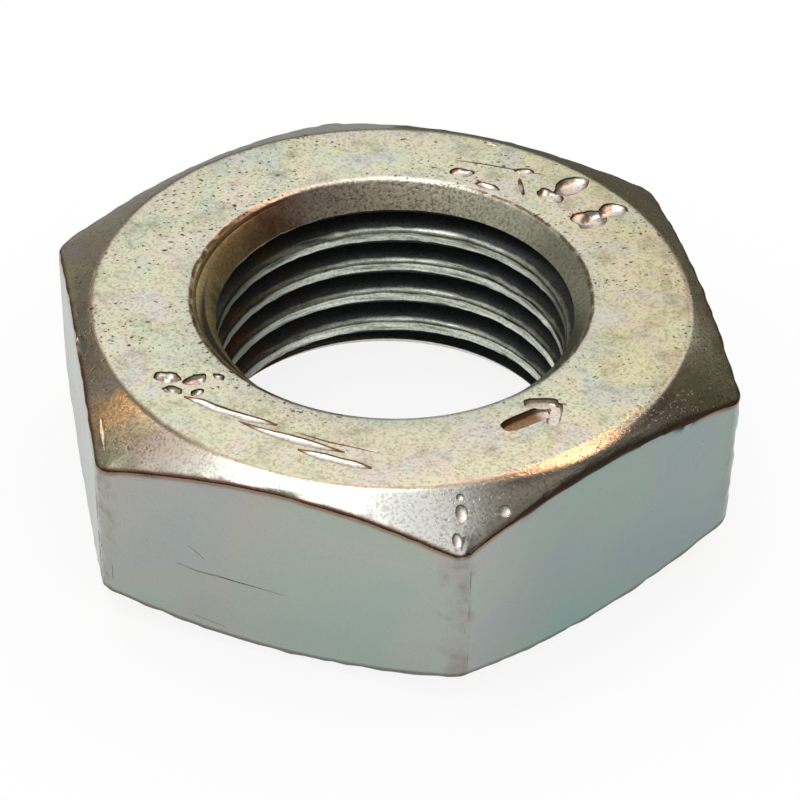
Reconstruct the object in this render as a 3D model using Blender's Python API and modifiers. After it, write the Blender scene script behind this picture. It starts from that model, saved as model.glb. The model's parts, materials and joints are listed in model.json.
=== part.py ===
"""Thin hexagon nut with a left-hand metric fine thread.

One piece of steel: a hexagonal blank, chamfered on both sides, bored, countersunk at both mouths and tapped.
Units are metres. +Z runs along the thread's axis, and the origin is the centre of the lower bearing face.
The flats are square to X, so two corners point along Y.
"""

import math

import bmesh
import bpy

# The hexagon.
SIDES = 6
ACROSS_FLATS = 0.0160
THICKNESS = 0.0055
CORNER_RADIUS = 0.0005

# The chamfer that turns each face of the hexagon into a round bearing face.
BEARING_DIAMETER = 0.01508
CHAMFER_DEGREES = 26.5
CHAMFER_BLEND_RADIUS = 0.0010

# The thread. Its start is where the middle of the groove crosses the lower bearing face.
THREAD_DIAMETER = 0.0100
THREAD_PITCH = 0.0010
THREAD_ANGLE_DEGREES = 60.0
THREAD_START_DEGREES = -89.0
LEFT_HAND = True

# The countersink at each mouth of the bore, a little wider than the thread.
MOUTH_OVER_THREAD = 0.00014
MOUTH_CONE_DEGREES = 84.0
MOUTH_LIP_RADIUS = 0.0002

# How finely round shapes are stepped.
STEPS_PER_TURN = 72
CORNER_STEPS = 4
BLEND_STEPS = 3
SHARP_EDGE_DEGREES = 30.0

# The basic metric profile leaves a quarter of the pitch flat at the bore and an eighth at the root.
CREST_FLAT_PER_PITCH = 1 / 4
ROOT_FLAT_PER_PITCH = 1 / 8

# How far a cutter runs past the surface that it cuts.
CUTTER_OVERRUN = 0.0010
GROOVE_OVERRUN = 0.0001
WELD_DISTANCE = 1e-6


def thread_depth():
    """From the crest of the ridge down to the root of the groove."""
    flank_height = THREAD_PITCH * (1 - CREST_FLAT_PER_PITCH - ROOT_FLAT_PER_PITCH) / 2
    return flank_height / math.tan(math.radians(THREAD_ANGLE_DEGREES / 2))


def bore_radius():
    return THREAD_DIAMETER / 2 - thread_depth()


def corner_distance():
    """From the axis to a corner of the hexagon, before the corner is rounded."""
    return ACROSS_FLATS / 2 / math.cos(math.pi / SIDES)


def clear_scene():
    for obj in list(bpy.data.objects):
        bpy.data.objects.remove(obj, do_unlink=True)


def new_collection(name):
    collection = bpy.data.collections.new(name)
    bpy.context.scene.collection.children.link(collection)
    return collection


def add_object(name, mesh, collection):
    obj = bpy.data.objects.new(name, mesh)
    collection.objects.link(obj)
    return obj


def add_cutter(name, mesh, collection):
    cutter = add_object(name, mesh, collection)
    cutter.hide_render = True
    cutter.display_type = "WIRE"
    return cutter


def evaluated_mesh(obj):
    """The mesh with its modifiers carried out."""
    graph = bpy.context.evaluated_depsgraph_get()
    return bpy.data.meshes.new_from_object(obj.evaluated_get(graph))


def outline_mesh(name, points, closed):
    """A line through (radius, height) points, in the plane that holds the axis and +X."""
    bm = bmesh.new()
    verts = [bm.verts.new((radius, 0.0, height)) for radius, height in points]
    for start, end in zip(verts, verts[1:]):
        bm.edges.new((start, end))
    if closed:
        bm.edges.new((verts[-1], verts[0]))
    mesh = bpy.data.meshes.new(name)
    bm.to_mesh(mesh)
    bm.free()
    return mesh


def rounded(before, corner, after, radius, steps):
    """Points of the arc that rounds off a corner of an outline."""
    to_before = math.atan2(before[1] - corner[1], before[0] - corner[0])
    to_after = math.atan2(after[1] - corner[1], after[0] - corner[0])
    half_angle = math.remainder(to_after - to_before, math.tau) / 2
    bisector = to_before + half_angle
    reach = radius / abs(math.sin(half_angle))
    centre = (corner[0] + reach * math.cos(bisector), corner[1] + reach * math.sin(bisector))
    half_turn = math.copysign(math.pi / 2 - abs(half_angle), half_angle)
    points = []
    for step in range(steps + 1):
        angle = bisector + math.pi + half_turn * (1 - 2 * step / steps)
        points.append((centre[0] + radius * math.cos(angle), centre[1] + radius * math.sin(angle)))
    return points


def half_section():
    """The upper half of the turned section, from the bore's middle up, out and down to the same height."""
    middle = THICKNESS / 2
    bore = bore_radius()
    mouth = (THREAD_DIAMETER + MOUTH_OVER_THREAD) / 2
    bearing = BEARING_DIAMETER / 2
    outside = corner_distance() + CUTTER_OVERRUN
    mouth_depth = (mouth - bore) / math.tan(math.radians(MOUTH_CONE_DEGREES / 2))
    chamfer_drop = (outside - bearing) * math.tan(math.radians(CHAMFER_DEGREES))
    cone_end = (bore, middle - mouth_depth)
    lip = (mouth, middle)
    shoulder = (bearing, middle)
    rim = (outside, middle - chamfer_drop)
    points = [cone_end]
    points += rounded(cone_end, lip, shoulder, MOUTH_LIP_RADIUS, BLEND_STEPS)
    points += rounded(lip, shoulder, rim, CHAMFER_BLEND_RADIUS, BLEND_STEPS)
    points.append(rim)
    return points


def turned_section(collection):
    """A ring with the nut's chamfers, bearing faces, countersinks and bore, wider than the hexagon."""
    upper = half_section()
    lower = [(radius, -height) for radius, height in reversed(upper)]
    points = [(radius, height + THICKNESS / 2) for radius, height in upper + lower]
    ring = add_cutter("turned_section", outline_mesh("turned_section", points, closed=True), collection)
    screw = ring.modifiers.new("Turn", "SCREW")
    screw.axis = "Z"
    screw.steps = STEPS_PER_TURN
    screw.render_steps = STEPS_PER_TURN
    screw.use_merge_vertices = True
    screw.merge_threshold = WELD_DISTANCE
    return ring


def groove_profile():
    """One pitch of the groove, from the middle of one crest to the middle of the next, about height zero."""
    half_flank = math.radians(THREAD_ANGLE_DEGREES / 2)
    inner = bore_radius() - GROOVE_OVERRUN
    root = THREAD_DIAMETER / 2
    root_half = THREAD_PITCH * ROOT_FLAT_PER_PITCH / 2
    mouth_half = root_half + (root - inner) * math.tan(half_flank)
    upper = [(inner, THREAD_PITCH / 2), (inner, mouth_half), (root, root_half)]
    return upper + [(radius, -height) for radius, height in reversed(upper)]


def thread_cutter(collection):
    """A threaded plug with the shape of a tap, longer than the nut at both ends."""
    rise = -THREAD_PITCH if LEFT_HAND else THREAD_PITCH
    start_height = THREAD_PITCH * math.remainder(THREAD_START_DEGREES, 360.0) / 360.0
    if not LEFT_HAND:
        start_height = -start_height
    turns_over_end = math.ceil(CUTTER_OVERRUN / THREAD_PITCH) + 1
    turns = math.ceil(THICKNESS / THREAD_PITCH) + 2 * turns_over_end
    first = math.ceil(THICKNESS / THREAD_PITCH) + turns_over_end if LEFT_HAND else -turns_over_end
    base = start_height + first * THREAD_PITCH
    points = [(radius, base + height) for radius, height in groove_profile()]
    line = add_object("thread_line", outline_mesh("thread_line", points, closed=False), collection)
    screw = line.modifiers.new("Helix", "SCREW")
    screw.axis = "Z"
    screw.screw_offset = rise
    screw.iterations = turns
    screw.steps = STEPS_PER_TURN
    screw.render_steps = STEPS_PER_TURN
    mesh = evaluated_mesh(line)
    bpy.data.objects.remove(line, do_unlink=True)

    bm = bmesh.new()
    bm.from_mesh(mesh)
    bmesh.ops.remove_doubles(bm, verts=bm.verts, dist=WELD_DISTANCE)
    middle = THICKNESS / 2
    open_edges = [edge for edge in bm.edges if edge.is_boundary]
    for end in (1, -1):
        edges = [edge for edge in open_edges if end * (edge.verts[0].co.z - middle) > 0]
        height = sum(edge.verts[0].co.z for edge in edges) / len(edges)
        drawn = bmesh.ops.extrude_edge_only(bm, edges=edges)["geom"]
        tip = [item for item in drawn if isinstance(item, bmesh.types.BMVert)]
        bmesh.ops.pointmerge(bm, verts=tip, merge_co=(0.0, 0.0, height))
    bmesh.ops.recalc_face_normals(bm, faces=bm.faces)
    bm.to_mesh(mesh)
    bm.free()
    mesh.name = "thread_cutter"
    return add_cutter("thread_cutter", mesh, collection)


def hexagon(collection):
    """The hexagonal bar that the nut is made from, a little long at both ends."""
    bm = bmesh.new()
    radius = corner_distance()
    depth = THICKNESS + 2 * CUTTER_OVERRUN
    bmesh.ops.create_cone(bm, cap_ends=True, segments=SIDES, radius1=radius, radius2=radius, depth=depth)
    bmesh.ops.translate(bm, verts=bm.verts, vec=(0.0, 0.0, THICKNESS / 2))
    upright = [edge for edge in bm.edges if abs(edge.verts[0].co.z - edge.verts[1].co.z) > THICKNESS / 2]
    bmesh.ops.bevel(
        bm,
        geom=upright,
        offset=CORNER_RADIUS * math.tan(math.pi / SIDES),
        segments=CORNER_STEPS,
        profile=0.5,
        affect="EDGES",
    )
    mesh = bpy.data.meshes.new("hex_nut")
    bm.to_mesh(mesh)
    bm.free()
    return add_object("hex_nut", mesh, collection)


def add_boolean(obj, name, operation, other):
    boolean = obj.modifiers.new(name, "BOOLEAN")
    boolean.operation = operation
    boolean.solver = "EXACT"
    boolean.object = other


def zinc_plate():
    """Zinc plating with a pale, faintly coloured passivation."""
    material = bpy.data.materials.new("zinc_plated_steel")
    material.use_nodes = True
    shader = material.node_tree.nodes["Principled BSDF"]
    shader.inputs["Base Color"].default_value = (0.50, 0.51, 0.45, 1.0)
    shader.inputs["Metallic"].default_value = 1.0
    shader.inputs["Roughness"].default_value = 0.38
    return material


def build():
    clear_scene()
    parts = new_collection("thin_hex_nut")
    cutters = new_collection("cutters")
    nut = hexagon(parts)
    add_boolean(nut, "Turned form", "INTERSECT", turned_section(cutters))
    add_boolean(nut, "Thread", "DIFFERENCE", thread_cutter(cutters))
    finished = evaluated_mesh(nut)
    nut.modifiers.clear()
    nut.data = finished
    nut.data.name = "hex_nut"
    nut.data.materials.clear()
    nut.data.materials.append(zinc_plate())
    nut.data.shade_smooth()
    nut.data.set_sharp_from_angle(angle=math.radians(SHARP_EDGE_DEGREES))


build()
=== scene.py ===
# %% [markdown]
# # A thin hexagon nut
#
# The real object is one piece of steel, about the size of a fingertip. It was cut from hexagonal bar, faced
# and chamfered on both sides, bored, countersunk and tapped with a left-hand thread. Then it was zinc
# plated.
#
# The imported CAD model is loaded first. It never moves and its mesh is never changed. One detailed piece,
# modelled below in the same metres and the same place, stands for it.

import json
import math

import bmesh
import bpy
from mathutils import Matrix, Vector

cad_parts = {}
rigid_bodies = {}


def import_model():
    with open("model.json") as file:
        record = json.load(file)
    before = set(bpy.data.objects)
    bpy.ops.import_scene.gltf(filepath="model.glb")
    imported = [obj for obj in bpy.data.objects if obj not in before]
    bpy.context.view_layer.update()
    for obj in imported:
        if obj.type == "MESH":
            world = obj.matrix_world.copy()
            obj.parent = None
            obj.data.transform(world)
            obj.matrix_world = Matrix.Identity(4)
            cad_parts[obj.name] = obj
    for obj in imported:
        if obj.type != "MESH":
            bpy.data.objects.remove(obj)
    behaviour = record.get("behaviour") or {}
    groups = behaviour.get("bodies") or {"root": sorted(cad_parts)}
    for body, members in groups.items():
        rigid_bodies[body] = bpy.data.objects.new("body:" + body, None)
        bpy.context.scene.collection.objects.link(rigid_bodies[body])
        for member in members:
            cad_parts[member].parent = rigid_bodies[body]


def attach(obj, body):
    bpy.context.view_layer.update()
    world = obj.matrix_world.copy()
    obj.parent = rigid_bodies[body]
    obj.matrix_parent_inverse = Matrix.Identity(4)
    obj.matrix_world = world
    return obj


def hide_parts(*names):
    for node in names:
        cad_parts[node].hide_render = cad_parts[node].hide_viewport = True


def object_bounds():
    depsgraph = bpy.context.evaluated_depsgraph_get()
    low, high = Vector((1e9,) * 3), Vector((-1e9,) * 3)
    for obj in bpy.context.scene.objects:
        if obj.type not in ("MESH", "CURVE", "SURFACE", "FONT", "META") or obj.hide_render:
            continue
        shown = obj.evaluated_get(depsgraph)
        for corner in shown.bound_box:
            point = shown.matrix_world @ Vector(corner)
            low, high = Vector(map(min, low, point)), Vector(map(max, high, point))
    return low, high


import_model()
cad_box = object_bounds()
print("CAD box, mm:", [[round(value * 1000, 3) for value in corner] for corner in cad_box])

# %% [markdown]
# ## Sizes
#
# The main sizes are those of the CAD model, written in millimetres and turned to metres by one factor. The
# lip of the countersink is a little rounder than in the model, and the photograph shows the bore a tenth of
# a millimetre off centre, as drilled holes often are.

# %% Write down the nut's sizes
MM = 0.001
ACROSS_FLATS = 16.0 * MM
THICKNESS = 5.5 * MM
CORNER_DISTANCE = ACROSS_FLATS / 2 / math.cos(math.radians(30))
CORNER_RADIUS = 0.5 * MM
BEARING_RADIUS = 7.54 * MM
CHAMFER_ANGLE = math.radians(26.5)
MOUTH_RADIUS = 5.07 * MM
MOUTH_HALF_ANGLE = math.radians(42.0)
LIP_RADIUS = 0.28 * MM
BORE_OFFSET = Vector((0.05 * MM, 0.12 * MM, 0))
THREAD_RADIUS = 5.0 * MM
THREAD_PITCH = 1.0 * MM
THREAD_START = math.radians(-89.0)
CREST_RADIUS = THREAD_RADIUS - 0.5413 * THREAD_PITCH
print("corner to corner before rounding, mm:", round(2 * CORNER_DISTANCE / MM, 2))

# %% [markdown]
# ## Five helpers
#
# Every step below selects something by its place, shapes it, and goes on. The first helper leaves nothing
# selected, so that a new primitive is the only thing selected. The second one goes into edit mode. The
# third gives the place of a vertex, edge or face, and the fourth selects what passes a test. The last one
# applies a Boolean and throws the cutter away.


# %% Define the helpers
def start():
    """Leaves edit mode and deselects every object, so that the next primitive is the only thing selected."""
    if bpy.context.object and bpy.context.object.mode == "EDIT":
        bpy.ops.object.mode_set(mode="OBJECT")
    bpy.ops.object.select_all(action="DESELECT")


def edit():
    """Enters edit mode with every vertex selected."""
    bpy.ops.object.mode_set(mode="EDIT")
    bpy.ops.mesh.select_mode(type="VERT")
    bpy.ops.mesh.select_all(action="SELECT")


def middle(item):
    """The place of a vertex, edge or face."""
    points = [item.co] if isinstance(item, bmesh.types.BMVert) else [vert.co for vert in item.verts]
    return sum(points, Vector()) / len(points)


def pick(kind, test):
    """Selects what passes the test in the mesh that is in edit mode, and nothing else."""
    modes = {"verts": "VERT", "edges": "EDGE", "faces": "FACE"}
    bpy.ops.mesh.select_mode(type=modes[kind])
    bpy.ops.mesh.select_all(action="DESELECT")
    data = bpy.context.object.data
    mesh = bmesh.from_edit_mesh(data)
    mesh.normal_update()
    found = [item for item in getattr(mesh, kind) if test(item)]
    for item in found:
        item.select_set(True)
    mesh.select_flush_mode()
    bmesh.update_edit_mesh(data)
    return len(found)


def cut(piece, tool, operation):
    """Joins the shape of a tool to the piece by a Boolean that is applied, and removes the tool."""
    start()
    piece.select_set(True)
    bpy.context.view_layer.objects.active = piece
    bpy.ops.object.modifier_add(type="BOOLEAN")
    boolean = piece.modifiers[-1]
    boolean.operation = operation
    boolean.solver = "EXACT"
    boolean.object = tool
    bpy.ops.object.modifier_apply(modifier=boolean.name)
    bpy.data.objects.remove(tool, do_unlink=True)
    print(operation.lower(), "left", len(piece.data.polygons), "faces")


# %% [markdown]
# ## The turned section
#
# On a lathe, everything that is round on this nut comes from one section: the bearing faces, the chamfers
# behind them, and the countersink at each mouth of the bore. A plane is added in the XZ plane, as wide as
# the wall of the nut. Bisecting takes its four corners off, and a vertex bevel rounds the lips of the
# countersinks.

# %% Draw the turned section
INNER = CREST_RADIUS - 0.25 * MM
OUTER = CORNER_DISTANCE + 0.5 * MM
start()
wall_middle = ((INNER + OUTER) / 2, 0, THICKNESS / 2)
bpy.ops.mesh.primitive_plane_add(size=1, location=wall_middle, rotation=(math.pi / 2, 0, 0))
nut = bpy.context.object
nut.name = "nut"
nut.data.name = "nut"
nut.scale = (OUTER - INNER, THICKNESS, 1)
bpy.ops.object.transform_apply()
edit()
for side in (1, -1):
    face_height = THICKNESS / 2 * (1 + side)
    chamfer = (math.sin(CHAMFER_ANGLE), 0, side * math.cos(CHAMFER_ANGLE))
    countersink = (-math.cos(MOUTH_HALF_ANGLE), 0, side * math.sin(MOUTH_HALF_ANGLE))
    for radius, normal in ((BEARING_RADIUS, chamfer), (MOUTH_RADIUS, countersink)):
        bpy.ops.mesh.select_all(action="SELECT")
        bpy.ops.mesh.bisect(plane_co=(radius, 0, face_height), plane_no=normal, clear_outer=True)
lip_setback = LIP_RADIUS * math.tan((math.pi / 2 - MOUTH_HALF_ANGLE) / 2)
print("lips rounded:", pick("verts", lambda vert: abs(vert.co.x - MOUTH_RADIUS) < 0.01 * MM))
bpy.ops.mesh.bevel(offset=lip_setback, segments=5, profile=0.5, affect="VERTICES")

# %% [markdown]
# ## Spinning it into a ring
#
# The face inside the outline would be left inside the ring, so only its edges are kept. One full turn of
# the outline makes the ring. Its first and last copies lie on each other and are merged, and then the
# normals are recalculated, because a spin can turn a shape inside out.

# %% Spin the section
STEPS = 288
bpy.ops.mesh.select_all(action="SELECT")
bpy.ops.mesh.delete(type="ONLY_FACE")
bpy.ops.mesh.select_all(action="SELECT")
bpy.ops.mesh.spin(steps=STEPS, angle=2 * math.pi, center=(0, 0, 0), axis=(0, 0, 1))
bpy.ops.mesh.select_all(action="SELECT")
bpy.ops.mesh.remove_doubles(threshold=0.0001 * MM)
bpy.ops.mesh.normals_make_consistent(inside=False)
print("faces in the ring:", len(bmesh.from_edit_mesh(nut.data).faces))

# %% [markdown]
# The bore is off centre, so the inner rim of the ring is moved by that much, and the tap will follow it.

# %% Move the bore off centre
moved = pick("verts", lambda vert: vert.co.xy.length < MOUTH_RADIUS + 0.2 * MM)
bpy.ops.transform.translate(value=BORE_OFFSET)
bpy.ops.object.mode_set(mode="OBJECT")
print("vertices moved:", moved)

# %% [markdown]
# ## The hexagon
#
# The bar is a cylinder with six sides. Its upright edges are rounded a little, as drawn bar is. The nut is
# what the ring and the bar have in common, so the curved edges where each flat meets the chamfer come by
# themselves. Where a line of the ring lies almost on a corner of the bar, the Boolean leaves slivers, and a
# bevel would pull them out into spikes. So points that are nearer to each other than four thousandths of a
# millimetre are merged.

# %% Cut the ring with the hexagonal bar
start()
bar_middle = (0, 0, THICKNESS / 2)
bpy.ops.mesh.primitive_cylinder_add(
    vertices=6,
    radius=CORNER_DISTANCE,
    depth=2 * THICKNESS,
    location=bar_middle,
)
bar = bpy.context.object
bpy.ops.object.transform_apply()
edit()
upright = pick("edges", lambda edge: abs(edge.verts[0].co.z - edge.verts[1].co.z) > THICKNESS)
corner_setback = CORNER_RADIUS * math.tan(math.radians(30))
bpy.ops.mesh.bevel(offset=corner_setback, segments=6, profile=0.5, affect="EDGES")
bpy.ops.object.mode_set(mode="OBJECT")
print("upright edges rounded:", upright)
cut(nut, bar, "INTERSECT")
SLIVER = 0.004 * MM
edit()
bpy.ops.mesh.remove_doubles(threshold=SLIVER)
bpy.ops.object.mode_set(mode="OBJECT")

# %% [markdown]
# ## Rims and edges
#
# No real edge is perfectly sharp. The rim of the bearing face runs softly into the chamfer, and the edge
# between chamfer and flat is less than a tenth of a millimetre round. But the plating drum has rubbed the
# upper front right side much softer, and its edge shows as a dark band. Both are found by the slopes of
# their two faces. Each piece of them gets a bevel weight, and a Bevel modifier that follows the weights
# rounds it all at once, so that the width changes without a step.

# %% Round the rims and the edges between the chamfers and the flats
WIDEST = 0.28 * MM
SOFT_PLACE_DEGREES = -60
SOFT_REACH_DEGREES = 26


def slopes(edge):
    return sorted(abs(face.normal.z) for face in edge.link_faces)


def rim(edge):
    at_radius = abs(middle(edge).xy.length - BEARING_RADIUS) < 0.01 * MM
    return at_radius and len(edge.link_faces) == 2 and slopes(edge)[0] < 0.95 and slopes(edge)[1] > 0.99


def arris(edge):
    outside = middle(edge).xy.length > BEARING_RADIUS
    return outside and len(edge.link_faces) == 2 and slopes(edge)[0] < 0.2 and slopes(edge)[1] > 0.6


def setback(edge):
    """How far the rounding reaches: usual on most of the nut, softest on the upper front right."""
    usual, softest = (0.13 * MM, 0.26 * MM) if rim(edge) else (0.066 * MM, 0.21 * MM)
    place = middle(edge)
    away = abs(math.degrees(math.atan2(place.y, place.x)) - SOFT_PLACE_DEGREES) / SOFT_REACH_DEGREES
    if place.z < THICKNESS / 2 or away > 1:
        return usual
    return usual + (softest - usual) * (1 - away * away)


edit()
print("edges rounded:", pick("edges", lambda edge: rim(edge) or arris(edge)))
mesh = bmesh.from_edit_mesh(nut.data)
weight = mesh.edges.layers.float.new("bevel_weight_edge")
for edge in mesh.edges:
    if edge.select:
        edge[weight] = setback(edge) / WIDEST
bmesh.update_edit_mesh(nut.data)
bpy.ops.object.mode_set(mode="OBJECT")
bpy.ops.object.modifier_add(type="BEVEL")
rounding = nut.modifiers[-1]
rounding.limit_method = "WEIGHT"
rounding.width = WIDEST
rounding.segments = 6
rounding.use_clamp_overlap = False
bpy.ops.object.modifier_apply(modifier=rounding.name)
print("faces with the edges rounded:", len(nut.data.polygons))

# %% [markdown]
# ## Room for wear
#
# The edges will be worn further down, and wear needs vertices to move. So the long upright and radial edges
# are divided, and each flat gets an inset border, which lets the edge move while the middle of the flat
# stays flat.


# %% Give the flats a border and divide the long edges
def upright_edge(edge):
    run = edge.verts[0].co - edge.verts[1].co
    return abs(run.z) > 2 * MM and middle(edge).xy.length > 9.05 * MM


def chamfer_edge(edge):
    run = edge.verts[0].co - edge.verts[1].co
    sloped = 0.3 * run.xy.length < abs(run.z) < 0.7 * run.xy.length
    return sloped and run.length > 0.15 * MM and middle(edge).xy.length > BEARING_RADIUS


def flat_face(face):
    return abs(face.normal.z) < 0.01 and face.calc_area() > 20 * MM * MM


edit()
print("flats:", pick("faces", flat_face))
bpy.ops.mesh.inset(thickness=0.22 * MM, use_individual=True)
print("upright edges divided:", pick("edges", upright_edge))
bpy.ops.mesh.subdivide(number_cuts=24)
print("chamfer edges divided:", pick("edges", chamfer_edge))
bpy.ops.mesh.subdivide(number_cuts=3)


# %% [markdown]
# ## The tap
#
# A thread is cut with a tap, so a tap is what is modelled: a line with the shape of one tooth, from the
# middle of one crest to the middle of the next, swept along a helix. The line is drawn by extruding one
# vertex. The thread is left-hand, so the Screw modifier goes down as it turns. Its start puts each ridge
# where the photograph has it.

# %% Draw one tooth
HALF_CREST = 0.15 * THREAD_PITCH
HALF_ROOT = 0.06 * THREAD_PITCH
FLANK_HEIGHT = 0.5 * THREAD_PITCH - HALF_CREST - HALF_ROOT
ROOT_RADIUS = CREST_RADIUS + FLANK_HEIGHT / math.tan(math.radians(30))
groove_height = THREAD_PITCH * THREAD_START / (2 * math.pi) + 8 * THREAD_PITCH
tooth = [
    (CREST_RADIUS, 0.5 * THREAD_PITCH),
    (CREST_RADIUS, 0.5 * THREAD_PITCH - HALF_CREST),
    (ROOT_RADIUS, HALF_ROOT),
    (ROOT_RADIUS, -HALF_ROOT),
    (CREST_RADIUS, HALF_CREST - 0.5 * THREAD_PITCH),
    (CREST_RADIUS, -0.5 * THREAD_PITCH),
]
start()
bpy.ops.mesh.primitive_plane_add(size=0.1 * MM, location=(tooth[0][0], 0, groove_height + tooth[0][1]))
tap = bpy.context.object
bpy.ops.object.transform_apply()
edit()
bpy.ops.mesh.merge(type="CENTER")
for before, after in zip(tooth, tooth[1:]):
    step = (after[0] - before[0], 0, after[1] - before[1])
    bpy.ops.mesh.extrude_vertices_move(TRANSFORM_OT_translate={"value": step})
inner_corners = [groove_height + tooth[1][1], groove_height + tooth[4][1]]
pick("verts", lambda vert: any(abs(vert.co.z - height) < 0.001 * MM for height in inner_corners))
bpy.ops.mesh.bevel(offset=0.06 * MM, segments=3, profile=0.5, affect="VERTICES")
bpy.ops.object.mode_set(mode="OBJECT")
print("points in the tooth:", len(tap.data.vertices), "root radius, mm:", round(ROOT_RADIUS / MM, 3))

# %% [markdown]
# The helix runs past the nut at both ends. There each open edge is drawn to one point in the middle, which
# makes the tap a closed solid that a Boolean can use. It is moved with the bore, and cuts the thread.

# %% Sweep the tooth along the helix and close both ends
helix = tap.modifiers.new("Helix", "SCREW")
helix.screw_offset = -THREAD_PITCH
helix.iterations = 11
helix.steps = 144
helix.render_steps = 144
bpy.ops.object.modifier_apply(modifier=helix.name)
edit()
bpy.ops.mesh.remove_doubles(threshold=0.0001 * MM)
for end in (1, -1):
    pick("edges", lambda edge: edge.is_boundary and end * (middle(edge).z - THICKNESS / 2) > 0)
    bpy.ops.mesh.extrude_edges_move()
    bpy.ops.mesh.merge(type="CENTER")
bpy.ops.mesh.select_all(action="SELECT")
bpy.ops.mesh.normals_make_consistent(inside=False)
bpy.ops.mesh.select_all(action="SELECT")
bpy.ops.transform.translate(value=BORE_OFFSET)
bpy.ops.object.mode_set(mode="OBJECT")
cut(nut, tap, "DIFFERENCE")

# %% [markdown]
# ## Punched marks
#
# The bearing face was stamped before plating. The one mark kept here is the plain arrow that tells a left-
# hand thread. Each of its three strokes is a wedge, wide at the face and narrow at its foot, as a steel
# punch leaves it. The wedge starts as a cube with its lower face scaled down. The other stamped places get
# plain oval punch dents, which are stretched and roughened spheres sunk in the face.
#
# All the tools for the marks go in one collection, and one Boolean cuts them together.

# %% Make the punches
marks = bpy.data.collections.new("marks")
bpy.context.scene.collection.children.link(marks)


def keep_tool(name):
    """Puts the active object in the collection of tools, with its place in its mesh."""
    tool = bpy.context.object
    tool.name = name
    bpy.ops.object.transform_apply()
    for holder in tool.users_collection:
        holder.objects.unlink(tool)
    marks.objects.link(tool)


def punch_stroke(name, begin, end, width, depth, foot=0.55):
    """A wedge from one place on the bearing face to another; the places and sizes are in millimetres."""
    run = Vector(end) - Vector(begin)
    centre = (Vector(begin) + Vector(end)) / 2
    above = 0.1
    start()
    bpy.ops.mesh.primitive_cube_add(
        size=1,
        location=(centre.x * MM, centre.y * MM, THICKNESS + (above - depth) / 2 * MM),
        rotation=(0, 0, math.atan2(run.y, run.x)),
    )
    bpy.context.object.scale = ((run.length + width) * MM, width * MM, (above + depth) * MM)
    edit()
    pick("edges", lambda edge: abs(edge.verts[0].co.z - edge.verts[1].co.z) > 0.5)
    bpy.ops.mesh.bevel(offset=0.3, segments=3, affect="EDGES")
    pick("faces", lambda face: face.normal.z < -0.9)
    narrow = ((run.length + width * foot) / (run.length + width), foot, 1)
    bpy.ops.transform.resize(value=narrow, orient_type="LOCAL")
    bpy.ops.object.mode_set(mode="OBJECT")
    keep_tool(name)


def punch_dent(name, place, length, width, depth, turn, wall=0.5):
    """An oval dent in the bearing face; the sizes are in millimetres and the turn is in degrees."""
    height = depth / (1 - wall)
    start()
    bpy.ops.mesh.primitive_ico_sphere_add(
        subdivisions=2,
        radius=1,
        location=(place[0] * MM, place[1] * MM, THICKNESS + wall * height * MM),
        rotation=(0, 0, math.radians(turn)),
    )
    edit()
    bpy.ops.transform.vertex_random(offset=0.13, normal=1.0, seed=len(marks.objects))
    bpy.ops.mesh.subdivide(number_cuts=3, smoothness=1.0)
    bpy.ops.transform.vertex_random(offset=0.02, normal=1.0, seed=len(marks.objects))
    bpy.ops.object.mode_set(mode="OBJECT")
    spread = 1 / math.sqrt(1 - wall * wall)
    bpy.context.object.scale = (length / 2 * spread * MM, width / 2 * spread * MM, height * MM)
    keep_tool(name)


punch_stroke("arrow_stem", (1.90, -5.60), (2.76, -5.24), 0.62, 0.13)
punch_stroke("arrow_head_inner", (2.56, -4.86), (3.02, -4.92), 0.48, 0.13)
punch_stroke("arrow_head_outer", (3.12, -5.10), (2.92, -5.62), 0.44, 0.12)
punch_dent("dent_a", (4.94, 3.62), 0.78, 0.52, 0.15, -57)
punch_dent("dent_b", (5.60, 3.92), 1.10, 0.80, 0.17, 25)
punch_dent("dent_c", (5.74, 2.42), 0.95, 0.80, 0.16, 25)
punch_dent("dent_d", (6.38, 2.68), 0.85, 0.66, 0.15, 16)
punch_dent("dent_e", (2.88, 5.06), 0.66, 0.42, 0.10, -18)
punch_dent("dent_f", (3.42, 4.33), 0.74, 0.34, 0.08, -43)
punch_dent("dent_g", (4.53, 4.84), 0.54, 0.26, 0.08, -19)
punch_dent("dent_h", (4.30, 4.12), 0.80, 0.13, 0.05, -94)
punch_dent("dent_i", (3.94, 6.24), 0.46, 0.14, 0.05, -32)
punch_dent("dent_j", (-5.99, -2.42), 0.66, 0.48, 0.15, -25)
punch_dent("dent_k", (-5.29, -2.62), 0.62, 0.42, 0.14, 9)
punch_dent("dent_l", (-5.90, -2.94), 0.56, 0.34, 0.11, -24)
punch_dent("dent_m", (-4.72, -2.60), 0.38, 0.22, 0.07, -45)
punch_dent("dent_n", (-5.33, -3.12), 0.44, 0.26, 0.09, 34)

# %% [markdown]
# ## Gouges and scratches
#
# Something hard has dragged across the bearing face and left a long groove that widens and runs out, with a
# finer one beside it. Each groove is cut with a tube. Its path is drawn by extruding a vertex from place to
# place, and turned into a curve whose round bevel is thick where the groove is wide. The tube's middle lies
# a little above the surface, so the groove is shallow and has sloping sides.


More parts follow.
